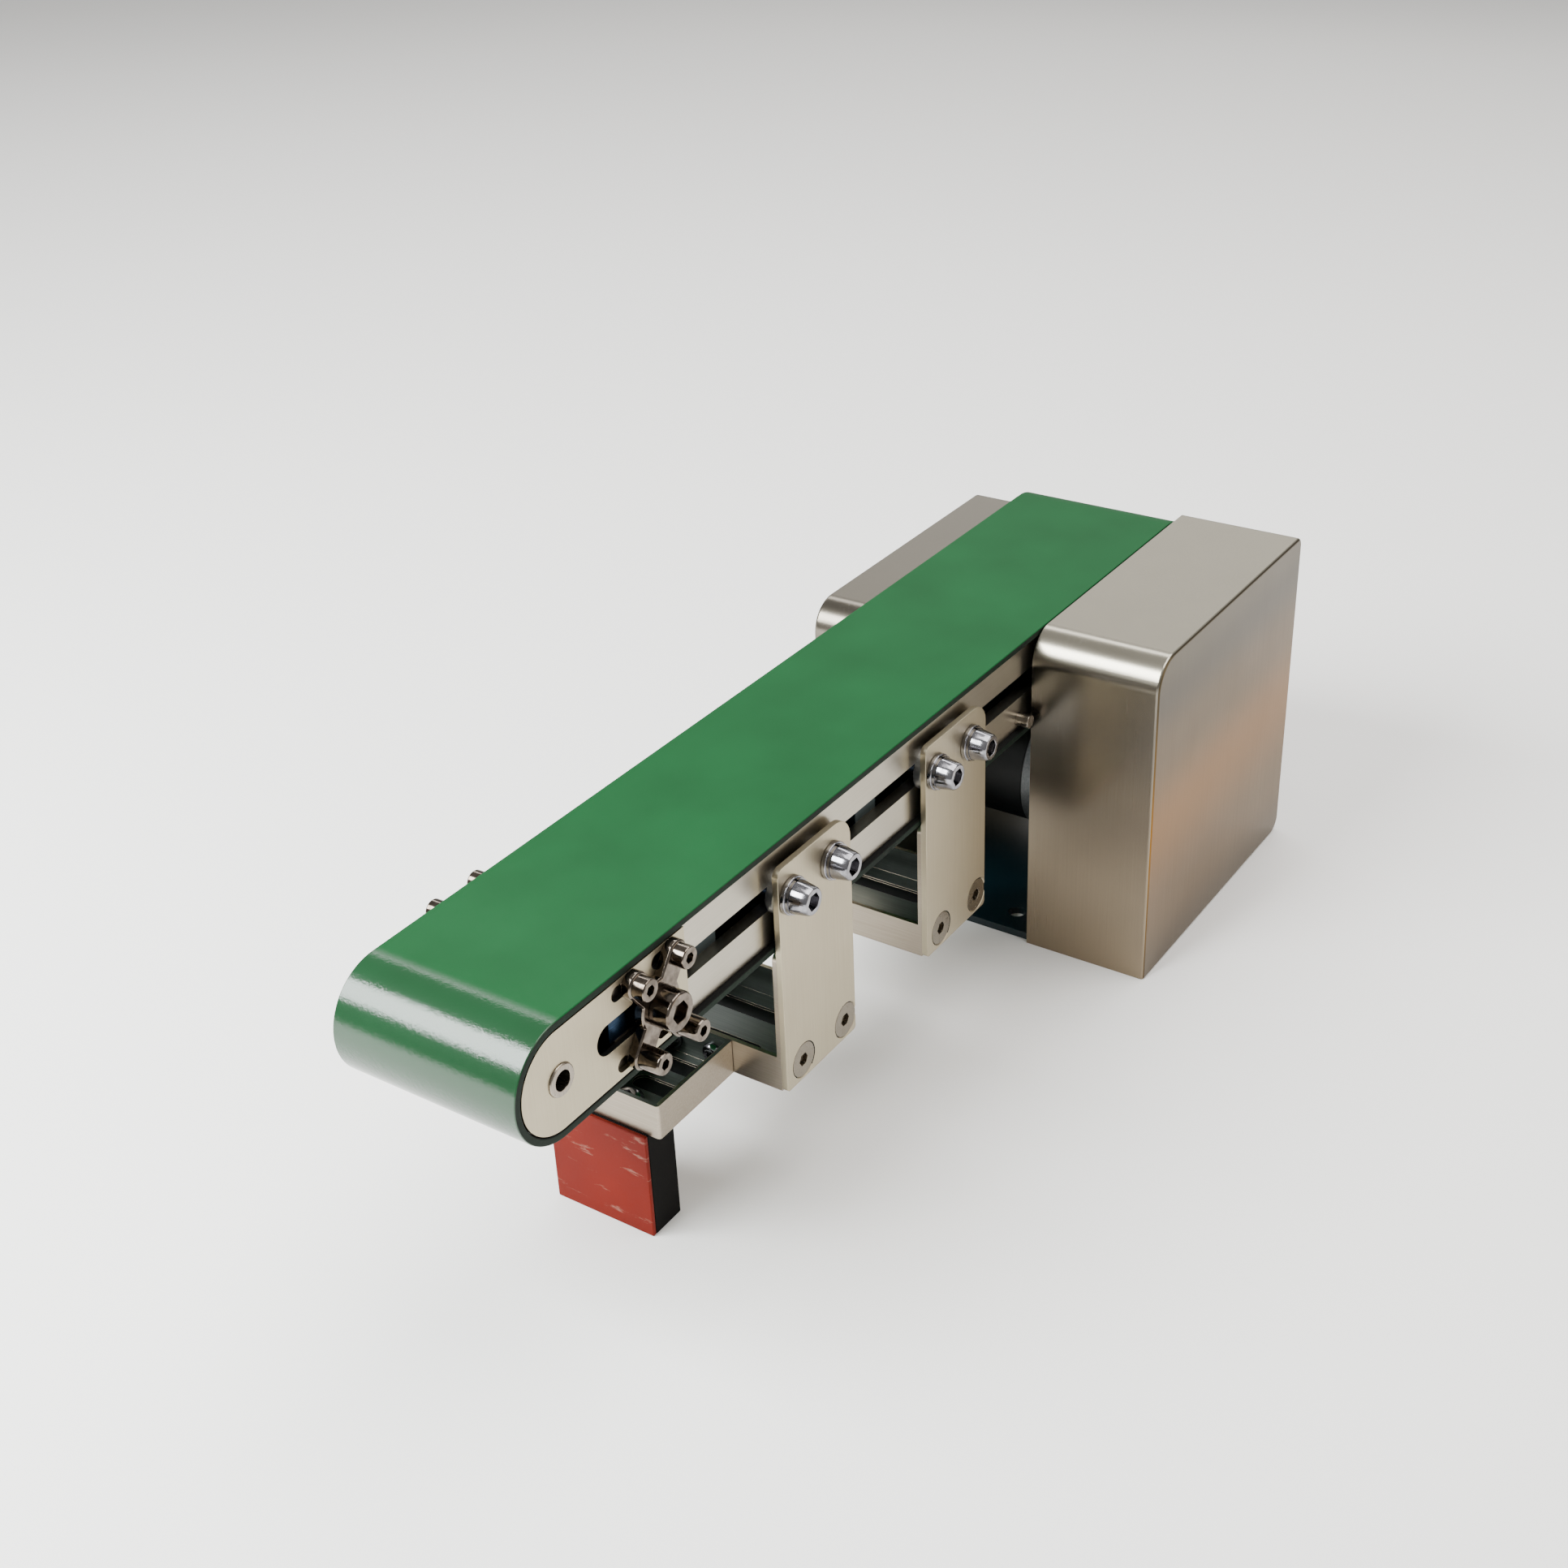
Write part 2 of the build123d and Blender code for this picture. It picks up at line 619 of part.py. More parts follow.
with BuildPart() as foot_angles:
    for side in sides:
        side_block(side, -angle_half, angle_half, side_plate_out, side_plate_out + 14, base_t, base_t + 2)
        side_block(side, -angle_half, angle_half, side_plate_out, side_plate_out + 2, base_t, base_t + 7)
    with BuildSketch(Plane.XY.offset(base_t)):
        with GridLocations(2 * angle_screw_x, 2 * angle_screw_y, 2, 2):
            Circle(m4_button.shank_r + fit_gap)
    extrude(amount=2, mode=Mode.SUBTRACT)
keep(foot_angles, "foot_angles")

m4_angle_screw = make_screw(m4_button, 4.5, domed=True)
with BuildPart() as foot_angle_screws:
    for x in (-angle_screw_x, angle_screw_x):
        for y in (-angle_screw_y, angle_screw_y):
            with Locations(Location((x, y, base_t + 2), (90, 0, 0))):
                add(m4_angle_screw)
keep(foot_angle_screws, "foot_angle_screws")

rail_screw_places = [(-1, x, z) for x in rail_screw_xs for z in (upper_rail_z, lower_rail_z)]
rail_screw_places += [(1, x, lower_rail_z) for x in rail_screw_xs]

m6_rail_screw = make_screw(m6, side_plate_out - rail_in - 0.4)
with BuildPart() as rail_end_screws:
    for side, x, z in rail_screw_places:
        with Locations(side_screw_place(side, x, side_plate_out, z)):
            add(m6_rail_screw)
keep(rail_end_screws, "rail_end_screws")

with BuildPart() as rail_end_spacers:
    for side, x, z in rail_screw_places:
        disc(side, x, z, rail_out, plate_in, 5.5, rail_screw_hole)
keep(rail_end_spacers, "rail_end_spacers")

# Covers: folded sheet boxes, open towards the belt and at the foot

cover_block_size = 10.0
cover_block_back = back_x - inset
cover_block_zs = (20.0, 80.0)
cover_screw_y = side_plate_out + cover_block_size / 2
gland_y = plate_in + 13.5
gland_z = axis_z - 6.3
gland_r = 7.9


def cover(side, width, height):
    outer = plate_in + width
    with BuildPart() as shell:
        shell_plane, shell_depth = band(side, plate_in, outer)
        with BuildSketch(shell_plane) as outline:
            with Locations((0, height / 2)):
                Rectangle(housing_length, height)
            fillet(outline.vertices().group_by(Axis.Y)[-1].sort_by(Axis.X)[0], 12)
            fillet(outline.vertices().group_by(Axis.Y)[-1].sort_by(Axis.X)[-1], 3.5)
            fillet(outline.vertices().group_by(Axis.Y)[0].sort_by(Axis.X)[-1], 6)
        extrude(amount=shell_depth)
        fillet(shell.faces().sort_by(Axis.Y)[0 if side < 0 else -1].edges(), 1.2)
        hollow_plane, hollow_depth = band(side, plate_in, outer - cover_sheet)
        with BuildSketch(hollow_plane):
            add(outline.sketch_local)
            offset(amount=-cover_sheet, kind=Kind.INTERSECTION, mode=Mode.REPLACE)
        extrude(amount=hollow_depth, mode=Mode.SUBTRACT)
        side_block(side, front_x + cover_sheet, back_x - 6, plate_in, outer - cover_sheet,
                   -1, cover_sheet + 1, Mode.SUBTRACT)
        with BuildSketch(Plane.YZ.offset(back_x - cover_sheet)):
            for z in cover_block_zs:
                with Locations((side * cover_screw_y, z)):
                    Circle(m4_button.shank_r + 0.2)
            if side > 0:
                with Locations((gland_y, gland_z)):
                    Circle(gland_r + 0.1)
        extrude(amount=cover_sheet, mode=Mode.SUBTRACT)
    return shell


right_cover = cover(-1, right_cover_width, right_height)
keep(right_cover, "right_cover")
left_cover = cover(1, left_cover_width, left_height)
keep(left_cover, "left_cover")

with BuildPart() as cover_blocks:
    for side in sides:
        for z in cover_block_zs:
            side_block(side, cover_block_back - cover_block_size, cover_block_back, side_plate_out,
                       side_plate_out + cover_block_size, z - cover_block_size / 2, z + cover_block_size / 2)
    with BuildSketch(Plane.YZ.offset(cover_block_back - cover_block_size)):
        for side in sides:
            for z in cover_block_zs:
                with Locations((side * cover_screw_y, z)):
                    Circle(m4_button.shank_r + fit_gap)
    extrude(amount=cover_block_size, mode=Mode.SUBTRACT)
keep(cover_blocks, "cover_blocks")

m4_cover_screw = make_screw(m4_button, 10.0, domed=True)
with BuildPart() as cover_screws:
    for side in sides:
        for z in cover_block_zs:
            with Locations(Location((back_x, side * cover_screw_y, z), (0, 0, -90))):
                add(m4_cover_screw)
keep(cover_screws, "cover_screws")

with BuildPart() as cable_gland:
    with BuildSketch(Plane.YZ.offset(back_x - 8)):
        with Locations((gland_y, gland_z)):
            Circle(gland_r)
    extrude(amount=11)
    with BuildSketch(Plane.YZ.offset(back_x)):
        with Locations((gland_y, gland_z)):
            RegularPolygon(9.5, 6, major_radius=False)
    extrude(amount=2.2)
    with BuildSketch(Plane.YZ.offset(back_x - cover_sheet - 3)):
        with Locations((gland_y, gland_z)):
            RegularPolygon(8.8, 6, major_radius=False)
    extrude(amount=3)
    with BuildSketch(Plane.YZ.offset(back_x - 8)):
        with Locations((gland_y, gland_z)):
            Circle(4)
    extrude(amount=11, mode=Mode.SUBTRACT)
keep(cable_gland, "cable_gland")

# Drive: gearmotor across the bay, toothed-belt stage inside the right cover, drive roller

shaft_r = 6.0
journal_r = 4.0
shaft_end = pulley_in + pulley_w + 2.0
drive_roller_half = plate_in - 0.8
with BuildPart() as drive_roller:
    disc(1, drive_x, axis_z, -drive_roller_half, drive_roller_half, roller_r, shaft_r + fit_gap)
keep(drive_roller, "drive_roller")

with BuildPart() as drive_shaft:
    disc(1, drive_x, axis_z, -shaft_end, drive_roller_half, shaft_r)
    disc(1, drive_x, axis_z, drive_roller_half, side_plate_out + 4, journal_r)
keep(drive_shaft, "drive_shaft")

with BuildPart() as drive_bearing:
    disc(-1, drive_x, axis_z, plate_in, side_plate_out + 2, drive_bearing_r, shaft_r + turn_gap)
    disc(-1, drive_x, axis_z, side_plate_out, side_plate_out + 1.5, drive_bearing_r + 1.5, shaft_r + turn_gap)
keep(drive_bearing, "drive_bearing")

with BuildPart() as drive_bush:
    disc(1, drive_x, axis_z, plate_in, side_plate_out + 3, drive_bush_r, journal_r + turn_gap)
keep(drive_bush, "drive_bush")


def pulley(x, z, bore_r):
    with BuildPart() as wheel:
        disc(-1, x, z, pulley_in, pulley_in + pulley_w, pulley_r, bore_r + fit_gap)
        disc(-1, x, z, pulley_in, pulley_in + 1.2, pulley_r + 1.4, bore_r + fit_gap)
        disc(-1, x, z, pulley_in + pulley_w - 1.2, pulley_in + pulley_w, pulley_r + 1.4, bore_r + fit_gap)
    return wheel


motor_shaft_r = 5.0
driven_pulley = pulley(drive_x, axis_z, shaft_r)
keep(driven_pulley, "driven_pulley")
motor_pulley = pulley(motor_x, motor_z, motor_shaft_r)
keep(motor_pulley, "motor_pulley")

with BuildPart() as timing_belt:
    stage_angle = degrees(atan2(axis_z - motor_z, drive_x - motor_x))
    stage_span = hypot(axis_z - motor_z, drive_x - motor_x)
    stage_plane, stage_depth = band(-1, pulley_in + 1.4, pulley_in + pulley_w - 1.4)
    with BuildSketch(stage_plane):
        with Locations(((drive_x + motor_x) / 2, (axis_z + motor_z) / 2)):
            SlotCenterToCenter(stage_span, 2 * (pulley_r + free_gap + drive_belt_t), rotation=stage_angle)
            SlotCenterToCenter(stage_span, 2 * (pulley_r + free_gap), rotation=stage_angle,
                               mode=Mode.SUBTRACT)
    extrude(amount=stage_depth)
keep(timing_belt, "timing_belt")

gearbox_in = plate_in - 27.0
with BuildPart() as motor_output_shaft:
    disc(-1, motor_x, motor_z, plate_in - 3, shaft_end, motor_shaft_r)
keep(motor_output_shaft, "motor_output_shaft")

with BuildPart() as gearbox:
    disc(-1, motor_x, motor_z, gearbox_in, plate_in, gearbox_r)
    disc(-1, motor_x, motor_z, plate_in - 1, side_plate_out + 0.5, pilot_r)
    disc(-1, motor_x, motor_z, plate_in - 3.5, side_plate_out + 0.5,
         motor_shaft_r + turn_gap, mode=Mode.SUBTRACT)
    for x, z in motor_screw_spots:
        disc(-1, x, z, plate_in - 8, plate_in, m4.shank_r + fit_gap, mode=Mode.SUBTRACT)
keep(gearbox, "gearbox")

motor_end = plate_in + left_cover_width - 9.0
with BuildPart() as motor_body:
    disc(1, motor_x, motor_z, -gearbox_in, motor_end, motor_r)
    disc(1, motor_x, motor_z, motor_end, motor_end + 3, motor_r - 4)
keep(motor_body, "motor_body")

m4_motor_screw = make_screw(m4, side_plate_t + 6.5)
with BuildPart() as motor_screws:
    for x, z in motor_screw_spots:
        with Locations(side_screw_place(-1, x, side_plate_out, z)):
            add(m4_motor_screw)
keep(motor_screws, "motor_screws")
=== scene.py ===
import json
import math

import bmesh
import bpy
from mathutils import Matrix, Vector


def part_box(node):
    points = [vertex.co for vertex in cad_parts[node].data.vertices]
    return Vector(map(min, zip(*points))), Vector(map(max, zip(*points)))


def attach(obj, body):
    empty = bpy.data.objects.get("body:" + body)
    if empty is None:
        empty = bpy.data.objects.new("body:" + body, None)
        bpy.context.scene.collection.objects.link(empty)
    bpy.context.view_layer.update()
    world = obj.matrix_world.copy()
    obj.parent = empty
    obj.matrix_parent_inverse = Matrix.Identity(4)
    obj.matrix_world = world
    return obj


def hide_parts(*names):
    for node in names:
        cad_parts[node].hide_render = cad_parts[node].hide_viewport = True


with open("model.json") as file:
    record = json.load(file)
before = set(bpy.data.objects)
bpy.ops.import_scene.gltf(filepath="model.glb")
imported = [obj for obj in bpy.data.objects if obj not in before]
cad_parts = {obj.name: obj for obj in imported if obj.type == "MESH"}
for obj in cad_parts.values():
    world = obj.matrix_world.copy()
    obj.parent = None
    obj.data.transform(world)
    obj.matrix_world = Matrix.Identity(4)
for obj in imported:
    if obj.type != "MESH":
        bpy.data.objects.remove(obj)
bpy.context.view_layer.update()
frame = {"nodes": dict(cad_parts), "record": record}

MM = 0.001


# Camera and soft lights

CAMERA_AZIMUTH, CAMERA_ELEVATION, CAMERA_ROLL = -54.80, 29.89, -2.69     # degrees
CAMERA_PLACE = Vector((-649.3, -337.7, 450.6)) * MM
CAMERA_LENS = 47.96


def aim_camera():
    azimuth, elevation, roll = (math.radians(a) for a in (CAMERA_AZIMUTH, CAMERA_ELEVATION, CAMERA_ROLL))
    back = Vector((math.sin(azimuth) * math.cos(elevation), -math.cos(azimuth) * math.cos(elevation),
                   math.sin(elevation)))
    level = Vector((math.cos(azimuth), math.sin(azimuth), 0))
    rise = back.cross(level)
    right = math.cos(roll) * level + math.sin(roll) * rise
    up = back.cross(right)
    camera = bpy.data.objects.new("camera", bpy.data.cameras.new("camera"))
    turned = Matrix((right, up, back)).transposed().to_4x4()
    camera.matrix_world = Matrix.Translation(CAMERA_PLACE) @ turned
    camera.data.lens = CAMERA_LENS
    camera.data.clip_start = 0.01
    bpy.context.scene.collection.objects.link(camera)
    bpy.context.scene.camera = camera


def softbox(name, place, target, size, watts, colour):
    """A soft rectangular light. Its first size runs along Y, the way the rollers lie."""
    lamp = bpy.data.lights.new(name, "AREA")
    lamp.shape = "RECTANGLE"
    lamp.size, lamp.size_y = size
    lamp.energy = watts
    lamp.color = colour
    back = (Vector(place) - Vector(target)) * Vector((1, 0, 1))
    back.normalize()
    along = Vector((0, 1, 0))
    holder = bpy.data.objects.new(name, lamp)
    turned = Matrix((along, back.cross(along), back)).transposed().to_4x4()
    holder.matrix_world = Matrix.Translation(place) @ turned
    bpy.context.scene.collection.objects.link(holder)


# Materials

def srgb(code):
    """A #rrggbb colour as linear RGBA."""
    parts = [int(code[i:i + 2], 16) / 255 for i in (1, 3, 5)]
    return (*[c / 12.92 if c <= 0.04045 else ((c + 0.055) / 1.055) ** 2.4 for c in parts], 1.0)


def add(material, kind, inputs=None, **settings):
    """Adds a node, sets its settings, and links or sets its inputs."""
    made = material.node_tree.nodes.new(kind)
    for name, value in settings.items():
        setattr(made, name, value)
    for name, value in (inputs or {}).items():
        if isinstance(value, bpy.types.NodeSocket):
            material.node_tree.links.new(value, made.inputs[name])
        else:
            made.inputs[name].default_value = value
    return made


def new_material(name):
    material = bpy.data.materials.new(name)
    material.use_nodes = True
    return material, material.node_tree.nodes["Principled BSDF"]


def worked_metal(name, low, high, rough, grain, bump, metallic=1.0, streak=0.7, mottle=0.3, spread=0.05):
    """A metal with a direction of grain: grain is the line spacing in mm along X, Y and Z."""
    material, shader = new_material(name)
    place = add(material, "ShaderNodeTexCoord")
    stretch = add(material, "ShaderNodeMapping", {
        "Vector": place.outputs["Object"], "Scale": [1 / (g * MM) for g in grain]})
    lines = add(material, "ShaderNodeTexNoise", {
        "Vector": stretch.outputs["Vector"], "Scale": 1.0, "Detail": 3.0, "Roughness": 0.6})
    cloud = add(material, "ShaderNodeTexNoise", {
        "Vector": place.outputs["Object"], "Scale": 1 / (22 * MM), "Detail": 2.0})
    level = 0.5 * (1 - streak - mottle)
    streaks = add(material, "ShaderNodeMath", {0: lines.outputs["Fac"], 1: streak, 2: level},
                  operation="MULTIPLY_ADD")
    blend = add(material, "ShaderNodeMath", {0: cloud.outputs["Fac"], 1: mottle, 2: streaks.outputs["Value"]},
                operation="MULTIPLY_ADD")
    tone = add(material, "ShaderNodeValToRGB", {"Fac": blend.outputs["Value"]})
    tone.color_ramp.elements[0].position = 0.30
    tone.color_ramp.elements[0].color = srgb(low)
    tone.color_ramp.elements[1].position = 0.70
    tone.color_ramp.elements[1].color = srgb(high)
    haze = add(material, "ShaderNodeMapRange", {
        "Value": blend.outputs["Value"], "From Min": 0.3, "From Max": 0.7,
        "To Min": rough + spread, "To Max": rough - spread})
    relief = add(material, "ShaderNodeBump", {
        "Height": lines.outputs["Fac"], "Strength": 0.6, "Distance": bump * MM})
    links = material.node_tree.links
    links.new(tone.outputs["Color"], shader.inputs["Base Color"])
    links.new(haze.outputs["Result"], shader.inputs["Roughness"])
    links.new(relief.outputs["Normal"], shader.inputs["Normal"])
    shader.inputs["Metallic"].default_value = metallic
    return material


PAINTED_REFLECTION_TOP = 130       # mm, the height that the painted reflection bands are measured against


def painted_reflection_by_height(material, bands):
    """Multiplies a material's colour by painted reflection bands that change up its height: bands are (height in mm,
    colour).
    """
    shader = material.node_tree.nodes["Principled BSDF"]
    tone = shader.inputs["Base Color"].links[0].from_socket
    place = add(material, "ShaderNodeTexCoord")
    height = add(material, "ShaderNodeSeparateXYZ", {"Vector": place.outputs["Object"]})
    share = add(material, "ShaderNodeMapRange", {
        "Value": height.outputs["Z"], "From Min": 0.0, "From Max": PAINTED_REFLECTION_TOP * MM})
    # The painted reflection bands: a colour ramp up the object's height.
    ramp = add(material, "ShaderNodeValToRGB", {"Fac": share.outputs["Result"]})
    ramp.color_ramp.interpolation = "EASE"
    stops = ramp.color_ramp.elements
    while len(stops) < len(bands):
        stops.new(0.5)
    for stop, (z, colour) in zip(stops, bands):
        stop.position = z / PAINTED_REFLECTION_TOP
        stop.color = srgb(colour)
    mixed = add(material, "ShaderNodeMix", {"Factor": 1.0}, data_type="RGBA", blend_type="MULTIPLY")
    links = material.node_tree.links
    links.new(tone, mixed.inputs[6])
    links.new(ramp.outputs["Color"], mixed.inputs[7])
    links.new(mixed.outputs[2], shader.inputs["Base Color"])
    return material


def moulded(name, low, high, rough, grit, bump, coat=0.0, ior=1.5, spread=0.05):
    """A non-metal with an even fine texture: grit is the size of its grain in mm."""
    material, shader = new_material(name)
    place = add(material, "ShaderNodeTexCoord")
    grain = add(material, "ShaderNodeTexNoise", {
        "Vector": place.outputs["Object"], "Scale": 1 / (grit * MM), "Detail": 3.0})
    cloud = add(material, "ShaderNodeTexNoise", {
        "Vector": place.outputs["Object"], "Scale": 1 / (30 * MM), "Detail": 2.0})
    tone = add(material, "ShaderNodeValToRGB", {"Fac": cloud.outputs["Fac"]})
    tone.color_ramp.elements[0].position = 0.25
    tone.color_ramp.elements[0].color = srgb(low)
    tone.color_ramp.elements[1].position = 0.75
    tone.color_ramp.elements[1].color = srgb(high)
    haze = add(material, "ShaderNodeMapRange", {
        "Value": grain.outputs["Fac"], "To Min": rough - spread, "To Max": rough + spread})
    relief = add(material, "ShaderNodeBump", {
        "Height": grain.outputs["Fac"], "Strength": 0.5, "Distance": bump * MM})
    links = material.node_tree.links
    links.new(tone.outputs["Color"], shader.inputs["Base Color"])
    links.new(haze.outputs["Result"], shader.inputs["Roughness"])
    links.new(relief.outputs["Normal"], shader.inputs["Normal"])
    shader.inputs["IOR"].default_value = ior
    shader.inputs["Coat Weight"].default_value = coat
    shader.inputs["Coat Roughness"].default_value = 0.12
    return material


def glossed_and_painted_shade_at_nose(material, nose_end, flat_start, shade_from, shade_to, shine):
    """Gives the belt's cover a wet shine round the nose that dies away along the flat run and underneath, and darkens
    its colour round the nose as painted shade.
    """
    shader = material.node_tree.nodes["Principled BSDF"]
    place = add(material, "ShaderNodeTexCoord")
    along = add(material, "ShaderNodeSeparateXYZ", {"Vector": place.outputs["Object"]})
    polish = add(material, "ShaderNodeMapRange", {
        "Value": along.outputs["X"], "From Min": nose_end * MM, "From Max": flat_start * MM,
        "To Min": shine, "To Max": 0.04}, interpolation_type="SMOOTHSTEP")
    under = add(material, "ShaderNodeMapRange", {
        "Value": along.outputs["Z"], "From Min": shade_from * MM, "From Max": shade_to * MM,
        "To Min": 0.12, "To Max": 1.0}, interpolation_type="SMOOTHSTEP")
    gloss = add(material, "ShaderNodeMath", {
        0: polish.outputs["Result"], 1: under.outputs["Result"]}, operation="MULTIPLY")
    # Painted shade: the belt's colour darkened to 0.7 at the nose, back to full on the flat run.
    nose_painted_shade = add(material, "ShaderNodeMapRange", {
        "Value": along.outputs["X"], "From Min": nose_end * MM, "From Max": flat_start * MM,
        "To Min": 0.7, "To Max": 1.0}, interpolation_type="SMOOTHSTEP")
    tone = shader.inputs["Base Color"].links[0].from_socket
    nose_shaded_colour = add(material, "ShaderNodeVectorMath", {0: tone, "Scale": nose_painted_shade.outputs["Result"]}, operation="SCALE")
    links = material.node_tree.links
    links.new(nose_shaded_colour.outputs["Vector"], shader.inputs["Base Color"])
    links.new(gloss.outputs["Value"], shader.inputs["Coat Weight"])
    ripple = add(material, "ShaderNodeTexNoise", {
        "Vector": place.outputs["Object"], "Scale": 1 / (1.6 * MM), "Detail": 4.0, "Roughness": 0.7})
    drawn = add(material, "ShaderNodeBump", {
        "Height": ripple.outputs["Fac"], "Strength": 0.7, "Distance": 0.12 * MM})
    links.new(drawn.outputs["Normal"], shader.inputs["Coat Normal"])
    shader.inputs["Coat IOR"].default_value = 1.6
    shader.inputs["Specular IOR Level"].default_value = 0.12
    return material


def scuffed(material, pale):
    """Pale rub marks: long thin patches where the colour has worn through."""
    shader = material.node_tree.nodes["Principled BSDF"]
    tone = shader.inputs["Base Color"].links[0].from_socket
    place = add(material, "ShaderNodeTexCoord")
    drawn = add(material, "ShaderNodeMapping", {
        "Vector": place.outputs["Object"], "Scale": (1 / (16 * MM), 1 / (16 * MM), 1 / (3.5 * MM)),
        "Rotation": (0.25, 0.0, 0.0)})
    rubs = add(material, "ShaderNodeTexNoise", {
        "Vector": drawn.outputs["Vector"], "Scale": 1.0, "Detail": 5.0, "Roughness": 0.7})
    worn = add(material, "ShaderNodeMapRange", {
        "Value": rubs.outputs["Fac"], "From Min": 0.60, "From Max": 0.74, "To Max": 0.6})
    mixed = add(material, "ShaderNodeMix", {"Factor": worn.outputs["Result"]}, data_type="RGBA")
    links = material.node_tree.links
    links.new(tone, mixed.inputs[6])
    mixed.inputs[7].default_value = srgb(pale)
    links.new(mixed.outputs[2], shader.inputs["Base Color"])
    return material


# Green polyurethane cover: deep green, satin on the flat, wet shine and clear highlight round the nose, its colour
# darkened round the nose as painted shade.
belt_face = glossed_and_painted_shade_at_nose(
    moulded("polyurethane_belt_calendered", "#043F1C", "#074722", 0.50, 0.5, 0.012, ior=1.38),
    nose_end=-328, flat_start=-322, shade_from=84, shade_to=100, shine=0.85)
# The slit edge and the fabric carcass inside: near black green, so the edge reads as a thin dark line.
belt_edge = moulded("belt_edge_slit", "#010E06", "#021A0B", 0.70, 0.4, 0.05, ior=1.3)
belt_carcass = moulded("belt_carcass_woven", "#060706", "#0E100E", 0.85, 0.8, 0.10, ior=1.3)
# Stainless bar with a fine lengthwise grain: soft warm grey, bright along its eased edges.
rail_steel = worked_metal("stainless_rail_grained", "#A8A294", "#B8B2A5", 0.31, (40, 0.5, 0.5), 0.002, streak=0.4)
plate_steel = worked_metal("stainless_plate_grained", "#A69C86", "#B3A992", 0.38, (0.5, 0.5, 30), 0.0018, streak=0.35)
# Brushed sheet of the covers: a fine upright grain, with painted reflection bands by height: a near white painted
# highlight along the top bend, dull grey under the bend and paler tan lower down.
cover_steel = painted_reflection_by_height(
    worked_metal("stainless_cover_brushed", "#A7A298", "#B3AEA4", 0.25, (0.45, 0.45, 60), 0.0025,
                 streak=0.4, mottle=0.2),
    [(0, "#D0C2B0"), (30, "#CFC3B4"), (70, "#B9B0A6"), (100, "#A19D9A"), (119, "#ACA9A4"), (125, "#EBEAE2")])
# The covers' outer panels: the same sheet, with painted reflection bands by height: straw-brown across the middle and
# dull grey towards the top.
cover_panel = painted_reflection_by_height(
    worked_metal("stainless_panel_brushed", "#A39B8C", "#AFA798", 0.30, (0.45, 0.45, 60), 0.0025,
                 streak=0.4, mottle=0.2),
    [(0, "#83745C"), (26, "#997E57"), (62, "#B8883F"), (92, "#8A7453"), (114, "#6B6354"), (127, "#7C7565")])
tray_steel = worked_metal("stainless_tray_folded", "#948A7C", "#A79C8D", 0.33, (0.5, 30, 0.5), 0.004)
# Inside the trays: darker, half-metal sheet as painted shade.
tray_floor = worked_metal("stainless_tray_inside_painted_shade", "#3B403C", "#5A605B", 0.34, (0.5, 30, 0.5), 0.003,
                          metallic=0.45, streak=0.4)
# Near black in the tray recesses and plate holes: painted shade.
tray_pocket = moulded("hollow_black_painted_shade", "#060707", "#0C0E0D", 0.55, 0.6, 0.02, ior=1.35)
# Nickel-plated screws: mirror bright with a cool tinge, faint tool marks.
bright_plate = worked_metal("nickel_plated_polished", "#77767A", "#A2A1A6", 0.14, (2, 2, 2), 0.004, spread=0.04)
# The clamp and its screws: polished nickel darkened to brown-grey, a painted dark reflection.
clamp_dark_reflection_look = worked_metal("nickel_clamp_painted_reflection", "#463D35", "#857B71", 0.14, (3, 3, 3), 0.008, spread=0.05)
# Foot screws: a shade darker than the plate they sit in, painted shade standing in for the dark gap round each head,
# so their round heads show.
foot_steel = worked_metal("stainless_screw_turned", "#756D60", "#8B8375", 0.27, (5, 5, 5), 0.002, streak=0.3)
turned_steel = worked_metal("steel_turned", "#7C746A", "#9C9388", 0.28, (0.4, 6, 6), 0.008)
machined_alloy = worked_metal("aluminium_machined", "#8A8B8C", "#A5A6A7", 0.34, (0.6, 6, 6), 0.008)
roller_alloy = worked_metal("aluminium_roller_turned", "#858684", "#A5A6A4", 0.33, (6, 0.5, 6), 0.008)
bearing_steel = worked_metal("bearing_steel_ground", "#808184", "#9C9DA0", 0.22, (2, 0.4, 2), 0.004)
# Oxide-blued nut block: blue-black with a cold glint.
blued_steel = worked_metal("steel_blued", "#0A1A2C", "#16344F", 0.22, (4, 4, 0.6), 0.008)
# Cast gearbox and painted motor: dull, slightly pebbled.
cast_alloy = worked_metal("aluminium_die_cast", "#4A4C4D", "#606263", 0.48, (0.8, 0.8, 0.8), 0.05, metallic=0.8)
motor_paint = moulded("motor_paint_black", "#050606", "#0B0D0D", 0.50, 0.7, 0.04, ior=1.3)
base_paint = moulded("base_paint_dark_teal", "#05181E", "#0A252C", 0.34, 0.8, 0.03)
black_nylon = moulded("nylon_moulded_black", "#0C0C0D", "#161617", 0.45, 0.6, 0.03)
drive_rubber = moulded("neoprene_belt_black", "#0D0D0D", "#181818", 0.62, 0.5, 0.04)
block_black = moulded("block_side_black", "#030202", "#070605", 0.55, 0.7, 0.03, ior=1.15)
block_red = scuffed(moulded("block_face_red", "#5C0E03", "#711706", 0.50, 0.9, 0.03, ior=1.22), "#A98072")

